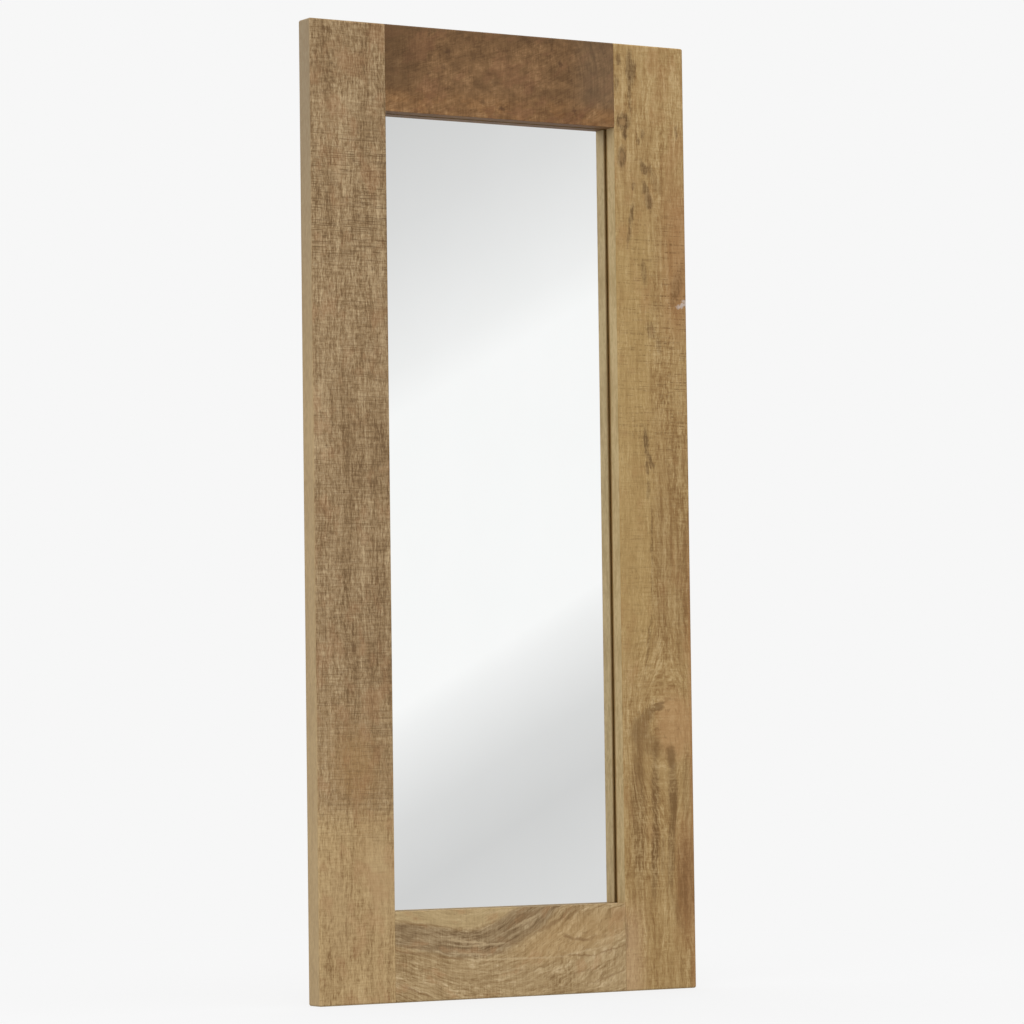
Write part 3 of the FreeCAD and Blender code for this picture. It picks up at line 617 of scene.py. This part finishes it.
def rail_bottom_wood():
    wood = Wood("rail_bottom_wood", False, 38.0)
    # The growth layers sag in the left half and sweep up to the right, steeper near the top.
    upper = ((-156, -14), (-110, -8), (-56, 0), (-30, -6), (2, -21), (40, -38), (60, -50))
    upper += ((156, -78),)
    lower = ((-156, -28), (-110, -12), (-56, 0), (0, 1), (50, -3), (100, -10), (156, -22))
    share = wood.limit(wood.multiply(wood.subtract(wood.z, 8), 1 / 88), 0.0, 1.0)
    top = wood.multiply(wood.curve(wood.x, -156, 156, upper), share)
    foot = wood.multiply(wood.curve(wood.x, -156, 156, lower), wood.subtract(1.0, share))
    wood.bend_grain(top, foot)
    value = wood.figure((3.0, 30), 0.85, 0.25, 0.75, 0.50)
    colour = wood.colour(value, (132, 103, 62), (160, 132, 90), (178, 151, 108), (204, 179, 138))
    # Greyer heart layers, between a pale wedge above and plain wood below.
    heart = wood.band(wood.flow, 46, 76, 3.0)
    shade = wood.colour(value, (106, 80, 48), (138, 113, 78), (156, 132, 96), (188, 164, 126))
    colour = wood.mix(wood.multiply(heart, 0.9), colour, shade)
    colour = wood.tinted(colour, wood.step(wood.flow, 76, 82), (196, 172, 124), 0.45)
    golden = wood.strokes(((10, 50, 150, 84, 44, 1.0),), 0.5, 5.0)
    colour = wood.tinted(colour, golden, (190, 154, 102), 0.40)
    bright = wood.strokes(
        (
            (-100, 70, -20, 60, 3.0, 0.8),
            (-60, 60, 0, 62, 2.4, 0.8),
            (-49, 44, 60, 43, 2.2, 0.8),
            (60, 43, 118, 52, 2.4, 0.8),
            (-70, 52, -30, 50, 2.0, 0.7),
            (118, 60, 150, 66, 2.6, 0.6),
            (-40, 96, 4, 99, 2.6, 0.7),
            (0, 78, 40, 94, 3.0, 0.7),
        ),
        0.5,
        2.6,
    )
    colour = wood.tinted(colour, bright, (208, 182, 140), 0.55)
    dark = wood.strokes(
        (
            (44, 75, 62, 86, 5, 0.8),
            (58, 82, 80, 98, 4, 0.8),
            (70, 84, 92, 97, 3, 0.7),
            (34, 72, 46, 80, 4, 0.6),
            (0, 84, 34, 97, 6, 0.7),
            (70, 68, 84, 62, 4, 0.9),
            (82, 63, 104, 61, 3.6, 0.9),
            (104, 62, 112, 67, 3, 0.6),
            (70, 45, 112, 43, 2, 0.8),
            (112, 44, 152, 54, 2, 0.8),
            (-22, 68, 6, 60, 6, 0.5),
            (-40, 54, -8, 50, 4, 0.6),
            (-153, 92, -110, 84, 3, 0.6),
            (-153, 58, -100, 50, 3, 0.7),
            (-100, 50, -56, 44, 3, 0.8),
            (-153, 22, -108, 5, 2.4, 0.9),
            (-40, 32, 20, 30, 2.4, 0.4),
            (60, 22, 130, 30, 2.4, 0.4),
            (100, 10, 150, 24, 2.4, 0.5),
        ),
        0.5,
        2.6,
    )
    colour = wood.tinted(colour, dark, (122, 88, 48), 0.62)
    ruddy = wood.step(wood.grained((14, 30), 3, 0.55, 27), 0.54, 0.70)
    colour = wood.tinted(colour, wood.multiply(ruddy, wood.sawn), (172, 128, 84), 0.35)
    marks = wood.multiply(wood.multiply(wood.saw_marks(4.0, 0.46), 0.7), wood.sawn)
    pores = wood.multiply(wood.pores(0.57), wood.sawn)
    colour = wood.tinted(colour, pores, (112, 82, 46), 0.36)
    colour = wood.tinted(colour, marks, (116, 86, 50), 0.40)
    colour = wood.tinted(colour, wood.planed, (180, 154, 112), 0.6)
    return wood.finished(colour, marks, pores, 0.35)


def beech():
    wood = Wood("dowel_beech", True, 51.0)
    fibre = wood.grained((0.9, 9), 3, 0.6, 2)
    colour = wood.ramp(fibre, ((0.3, srgb(184, 150, 110)), (0.7, srgb(216, 184, 142))))
    wood.set(Base_Color=colour, Roughness=0.6, Specular_IOR_Level=0.3)
    wood.relief(fibre, 0.1, 0.5)
    return wood.material


# ---------------------------------------------------------------- other materials


def mirror_silver():
    """Silvered glass, seen at the depth where its silver appears."""
    finish = Finish("mirror_silver")
    haze = finish.noise(finish.x, finish.y, finish.z, (90, 90, 140), 3, 0.55, 2.0)
    tint = finish.ramp(haze, ((0.3, (0.868, 0.878, 0.872, 1)), (0.7, (0.880, 0.888, 0.883, 1))))
    finish.set(Base_Color=tint, Metallic=1.0)
    finish.set(Roughness=finish.step(haze, 0.35, 0.75, 0.004, 0.014))
    return finish.material


def fibreboard():
    """Bare fibreboard: felted short fibres in a flat brown sheet."""
    finish = Finish("rear_panel_fibreboard")
    cloud = finish.noise(finish.x, finish.y, finish.z, (120, 120, 160), 3, 0.55, 1.0)
    fleck = finish.noise(finish.x, finish.y, finish.z, (1.6, 1.6, 2.2), 4, 0.75, 5.0)
    fibre = finish.noise(finish.x, finish.y, finish.z, (5.0, 3.5, 0.9), 3, 0.65, 9.0)
    value = finish.add(finish.multiply(cloud, 0.12), finish.multiply(fleck, 0.55))
    value = finish.add(value, finish.multiply(fibre, 0.33))
    stops = ((0.36, srgb(104, 76, 50)), (0.5, srgb(132, 100, 68)), (0.64, srgb(158, 126, 90)))
    finish.set(Base_Color=finish.ramp(value, stops), Specular_IOR_Level=0.3)
    finish.set(Roughness=finish.step(fleck, 0.3, 0.7, 0.66, 0.82))
    finish.relief(fleck, 0.12, 0.5)
    return finish.material


def plated_steel(name, tint, brushed=(0.25, 6.0, 6.0)):
    """Zinc-plated steel with fine drawn lines and cloudy plating."""
    finish = Finish(name)
    cloud = finish.noise(finish.x, finish.y, finish.z, (5, 5, 5), 3, 0.6, 3.0)
    lines = finish.noise(finish.x, finish.y, finish.z, brushed, 2, 0.6, 7.0)
    dull = srgb(*[value * 0.84 for value in tint])
    colour = finish.mix(finish.step(cloud, 0.35, 0.7), srgb(*tint), dull)
    finish.set(Base_Color=colour, Metallic=1.0)
    worn = finish.add(finish.multiply(cloud, 0.22), finish.multiply(lines, 0.20))
    finish.set(Roughness=finish.add(worn, 0.12))
    finish.relief(lines, 0.02, 0.5)
    return finish.material


def rubber():
    finish = Finish("bumper_rubber")
    grain = finish.noise(finish.x, finish.y, finish.z, (0.5, 0.5, 0.5), 3, 0.6, 3.0)
    dust = finish.noise(finish.x, finish.y, finish.z, (6, 6, 6), 3, 0.6, 8.0)
    colour = finish.ramp(dust, ((0.4, srgb(34, 34, 35)), (0.75, srgb(62, 61, 59))))
    finish.set(Base_Color=colour, Roughness=finish.step(dust, 0.3, 0.8, 0.62, 0.85))
    finish.relief(grain, 0.08, 0.6)
    return finish.material


def foam():
    finish = Finish("foam_tape")
    cells = finish.noise(finish.x, finish.y, finish.z, (0.4, 0.4, 0.4), 3, 0.7, 3.0)
    colour = finish.ramp(cells, ((0.3, srgb(206, 205, 200)), (0.7, srgb(236, 235, 231))))
    finish.set(Base_Color=colour, Roughness=0.9)
    finish.relief(cells, 0.15, 0.7)
    return finish.material


# ---------------------------------------------------------------- pieces


def assign(material, *names):
    """Give CAD nodes a material in place of the one they came with."""
    for name in names:
        mesh = NODES[name].data
        mesh.materials.clear()
        mesh.materials.append(material)


def mesh_object(name, build):
    """A new object whose mesh is made by build(bmesh)."""
    shape = bmesh.new()
    build(shape)
    bmesh.ops.recalc_face_normals(shape, faces=shape.faces)
    mesh = bpy.data.meshes.new(name)
    shape.to_mesh(mesh)
    shape.free()
    piece = bpy.data.objects.new(name, mesh)
    bpy.context.scene.collection.objects.link(piece)
    return piece


def mirror_pane(material):
    """The mirror, its reflecting face at the depth where silver behind glass appears."""
    low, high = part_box("mirror_glass")
    low = low + Vector((0, SILVER_DEPTH * MILLIMETRE, 0))

    def build(shape):
        bmesh.ops.create_cube(shape, size=1.0)
        scale = Matrix.Diagonal(high - low)
        for vertex in shape.verts:
            vertex.co = scale @ vertex.co + (low + high) / 2
        edges = shape.edges[:]
        bmesh.ops.bevel(shape, geom=edges, offset=0.3 * MILLIMETRE, segments=2, affect="EDGES")

    pane = mesh_object("mirror_pane", build)
    pane.data.materials.append(material)
    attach(pane, BODY)
    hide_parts("mirror_glass")


def soften(shape, sharp=math.radians(32)):
    """Smooth shading that keeps the edges sharper than an angle."""
    for face in shape.faces:
        face.smooth = True
    for edge in shape.edges:
        edge.smooth = len(edge.link_faces) == 2 and edge.calc_face_angle() < sharp


def screw_mesh(name, profile, arm, slot_width, depth, sides=48, taper=0.55):
    """A screw along Y, its top at 0, with a tapered cross recess.

    profile is (radius, y) in mm, from the rim of the recessed top.
    """
    turns = [2 * math.pi * index / sides for index in range(sides)]
    shape = bmesh.new()

    def loop(points, y):
        places = [(x * MILLIMETRE, y * MILLIMETRE, z * MILLIMETRE) for x, z in points]
        return [shape.verts.new(place) for place in places]

    def skin(first, second):
        for index, corner in enumerate(first):
            shape.faces.new((first[index - 1], corner, second[index], second[index - 1]))

    def fill(*loops):
        corners = [corner for ring in loops for corner in ring]
        for triangle in tessellate_polygon([[corner.co for corner in ring] for ring in loops]):
            shape.faces.new([corners[index] for index in triangle])

    rings = [
        loop([(radius * math.cos(turn), radius * math.sin(turn)) for turn in turns], y)
        for radius, y in profile
    ]
    for first, second in zip(rings, rings[1:]):
        skin(first, second)
    fill(rings[-1])
    half = slot_width / 2
    cross = [
        (x * cosine - z * sine, x * sine + z * cosine)
        for cosine, sine in ((1, 0), (0, 1), (-1, 0), (0, -1))
        for x, z in ((arm, -half), (arm, half), (half, half))
    ]
    mouth = loop(cross, 0.0)
    floor = loop([(taper * x, taper * z) for x, z in cross], -depth)
    fill(rings[0], mouth)
    skin(mouth, floor)
    fill(floor)
    bmesh.ops.recalc_face_normals(shape, faces=shape.faces)
    soften(shape)
    mesh = bpy.data.meshes.new(name)
    shape.to_mesh(mesh)
    shape.free()
    return mesh


def add_screws(mesh, material, names, turns):
    """Screws with a recess in place of the plain ones, each turned by its own angle."""
    mesh.materials.append(material)
    for name in names:
        low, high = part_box(name)
        screw = bpy.data.objects.new("turned_" + name, mesh)
        bpy.context.scene.collection.objects.link(screw)
        screw.location = ((low.x + high.x) / 2, high.y, (low.z + high.z) / 2)
        screw.rotation_euler = (0, turns.uniform(0, math.pi / 2), 0)
        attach(screw, BODY)
        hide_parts(name)


# ---------------------------------------------------------------- studio


def add_camera():
    camera = bpy.data.objects.new("camera", bpy.data.cameras.new("camera"))
    bpy.context.scene.collection.objects.link(camera)
    camera.data.lens = CAMERA_LENS
    camera.data.clip_end = 100
    turn = Matrix.Rotation(-CAMERA_HEADING, 4, "Z")
    turn = turn @ Matrix.Rotation(math.pi / 2 + CAMERA_RISE, 4, "X")
    turn = turn @ Matrix.Rotation(CAMERA_ROLL, 4, "Z")
    camera.matrix_world = Matrix.Translation(CAMERA_PLACE) @ turn
    bpy.context.scene.camera = camera


def add_world():
    """White room: brighter above than below, and one plain white where the camera sees it."""
    world = bpy.data.worlds.new("studio")
    world.use_nodes = True
    bpy.context.scene.world = world
    sky = Shader(world.node_tree)
    backdrop = world.node_tree.nodes["Background"]
    direction = sky.node("ShaderNodeTexCoord").outputs["Generated"]
    parts = sky.node("ShaderNodeSeparateXYZ")
    sky.put(parts.inputs[0], direction)
    level = sky.step(parts.outputs[2], -0.6, 0.5, 0.42, 1.12)
    seen = sky.node("ShaderNodeLightPath").outputs["Is Camera Ray"]
    shade = sky.vector(level, level, level)
    white = (BACKDROP, BACKDROP, BACKDROP, 1.0)
    sky.put(backdrop.inputs["Color"], sky.mix(seen, shade, white))


def plane(name, corners):
    def build(shape):
        shape.faces.new([shape.verts.new(corner) for corner in corners])

    return mesh_object(name, build)


def add_floor():
    """Pale floor round the mirror, which fades into the white of the room."""
    reach = 30.0
    corners = ((-reach, -reach, 0), (reach, -reach, 0), (reach, reach, 0), (-reach, reach, 0))
    floor = plane("floor", corners)
    material = bpy.data.materials.new("floor_paint")
    material.use_nodes = True
    paint = Shader(material.node_tree)
    surface = material.node_tree.nodes["Principled BSDF"]
    coordinates = paint.node("ShaderNodeTexCoord").outputs["Object"]
    mottle = paint.node("ShaderNodeTexNoise")
    paint.put(mottle.inputs["Vector"], coordinates)
    mottle.inputs["Scale"].default_value = 4.0
    tones = ((0.3, (0.745, 0.745, 0.75, 1)), (0.7, (0.76, 0.76, 0.765, 1)))
    paint.put(surface.inputs["Base Color"], paint.ramp(mottle.outputs["Fac"], tones))
    surface.inputs["Roughness"].default_value = 0.9
    surface.inputs["Specular IOR Level"].default_value = 0.0
    glow = paint.node("ShaderNodeEmission")
    glow.inputs["Color"].default_value = (BACKDROP, BACKDROP, BACKDROP, 1.0)
    blend = paint.node("ShaderNodeMixShader")
    # Only a faint contact shadow shows, and only within a metre and a half.
    paint.put(blend.inputs[0], paint.step(paint.length(coordinates), 0.45, 1.5, 0.85, 1.0))
    paint.put(blend.inputs[1], surface.outputs[0])
    paint.put(blend.inputs[2], glow.outputs[0])
    paint.put(material.node_tree.nodes["Material Output"].inputs["Surface"], blend.outputs[0])
    floor.data.materials.append(material)
    floor.visible_diffuse = False


def add_reflected_wall():
    """A wall with soft slanting bands of light in front of the mirror, seen only in it."""
    near, half, foot, top = -2.0, 7.0, -0.02, 6.0
    corners = ((-half, near, foot), (half, near, foot), (half, near, top), (-half, near, top))
    wall = plane("reflected_wall", corners)
    material = bpy.data.materials.new("soft_bands")
    material.use_nodes = True
    bands = Shader(material.node_tree)
    parts = bands.node("ShaderNodeSeparateXYZ")
    bands.put(parts.inputs[0], bands.node("ShaderNodeTexCoord").outputs["Object"])
    period = 1.65
    start = 0.70 + 3 * period
    # Distance down and to the right, in metres.
    right = bands.multiply(parts.outputs[0], 0.473)
    down = bands.multiply(parts.outputs[2], -0.881)
    place = bands.multiply(bands.add(bands.add(right, down), start), 1 / period)
    place = bands.math("FRACT", place)

    def grey(level):
        value = srgb(level, level, level)[0] / REFLECTANCE
        return (value, value, value, 1.0)

    stops = (
        (0.00, grey(206)),
        (0.108, grey(218.5)),
        (0.234, grey(237.5)),
        (0.275, grey(246.5)),
        (0.535, grey(247)),
        (0.56, grey(238)),
        (0.64, grey(216.5)),
        (0.705, grey(207.5)),
        (0.80, grey(215.5)),
        (0.87, grey(216)),
        (1.00, grey(206)),
    )
    glow = bands.node("ShaderNodeEmission")
    bands.put(glow.inputs["Color"], bands.ramp(place, stops))
    bands.put(material.node_tree.nodes["Material Output"].inputs["Surface"], glow.outputs[0])
    wall.data.materials.append(material)
    wall.visible_camera = False
    wall.visible_diffuse = False
    wall.visible_shadow = False


def add_lights():
    """One large soft light above and to the left, and a weaker one behind for the back views."""
    for name, place, size, power in (
        ("key", (-2.2, -2.6, 3.2), 2.2, 40.0),
        ("back", (1.8, 3.0, 2.6), 2.0, 30.0),
    ):
        lamp = bpy.data.objects.new(name, bpy.data.lights.new(name, "AREA"))
        lamp.data.shape = "SQUARE"
        lamp.data.size = size
        lamp.data.energy = power
        lamp.location = place
        aim = Vector((0, 0, 0.55)) - Vector(place)
        lamp.rotation_euler = aim.to_track_quat("-Z", "Y").to_euler()
        bpy.context.scene.collection.objects.link(lamp)


bpy.context.scene.view_settings.view_transform = "Standard"
add_camera()
add_world()
add_floor()
add_reflected_wall()
add_lights()

assign(stile_left_wood(), "stile_left")
assign(stile_right_wood(), "stile_right")
assign(rail_top_wood(), "rail_top")
assign(rail_bottom_wood(), "rail_bottom")
assign(beech(), *[name for name in NODES if name.startswith("dowel_")])
assign(foam(), *[name for name in NODES if name.startswith("foam_tape_")])
assign(fibreboard(), "rear_panel")
assign(plated_steel("strap_zinc", (186, 190, 194)), "hanger_strap_left", "hanger_strap_right")
ring_zinc = plated_steel("ring_zinc", (196, 199, 202), (3.0, 0.3, 0.3))
assign(ring_zinc, "hanger_ring_left", "hanger_ring_right")
assign(rubber(), "wall_bumper_left", "wall_bumper_right")
mirror_pane(mirror_silver())
angles = random.Random(5)
add_screws(
    screw_mesh(
        "countersunk_screw",
        ((2.9, 0), (3.0, -0.1), (1.5, -1.6), (1.5, -11.5), (0.2, -14)),
        arm=1.6,
        slot_width=0.62,
        depth=1.2,
    ),
    plated_steel("panel_screw_yellow_zinc", (206, 176, 110)),
    [name for name in NODES if name.startswith("panel_screw_")],
    angles,
)
crown = ((2.2, 0), (2.75, -0.12), (3.15, -0.42), (3.42, -0.95), (3.5, -1.5), (3.5, -2.05))
add_screws(
    screw_mesh(
        "pan_head_screw",
        crown + ((3.4, -2.2), (1.75, -2.2), (1.75, -15.2), (0.2, -18.2)),
        arm=1.85,
        slot_width=0.75,
        depth=1.4,
    ),
    plated_steel("hanger_screw_zinc", (188, 191, 196)),
    [name for name in NODES if name.startswith("hanger_screw_")],
    angles,
)
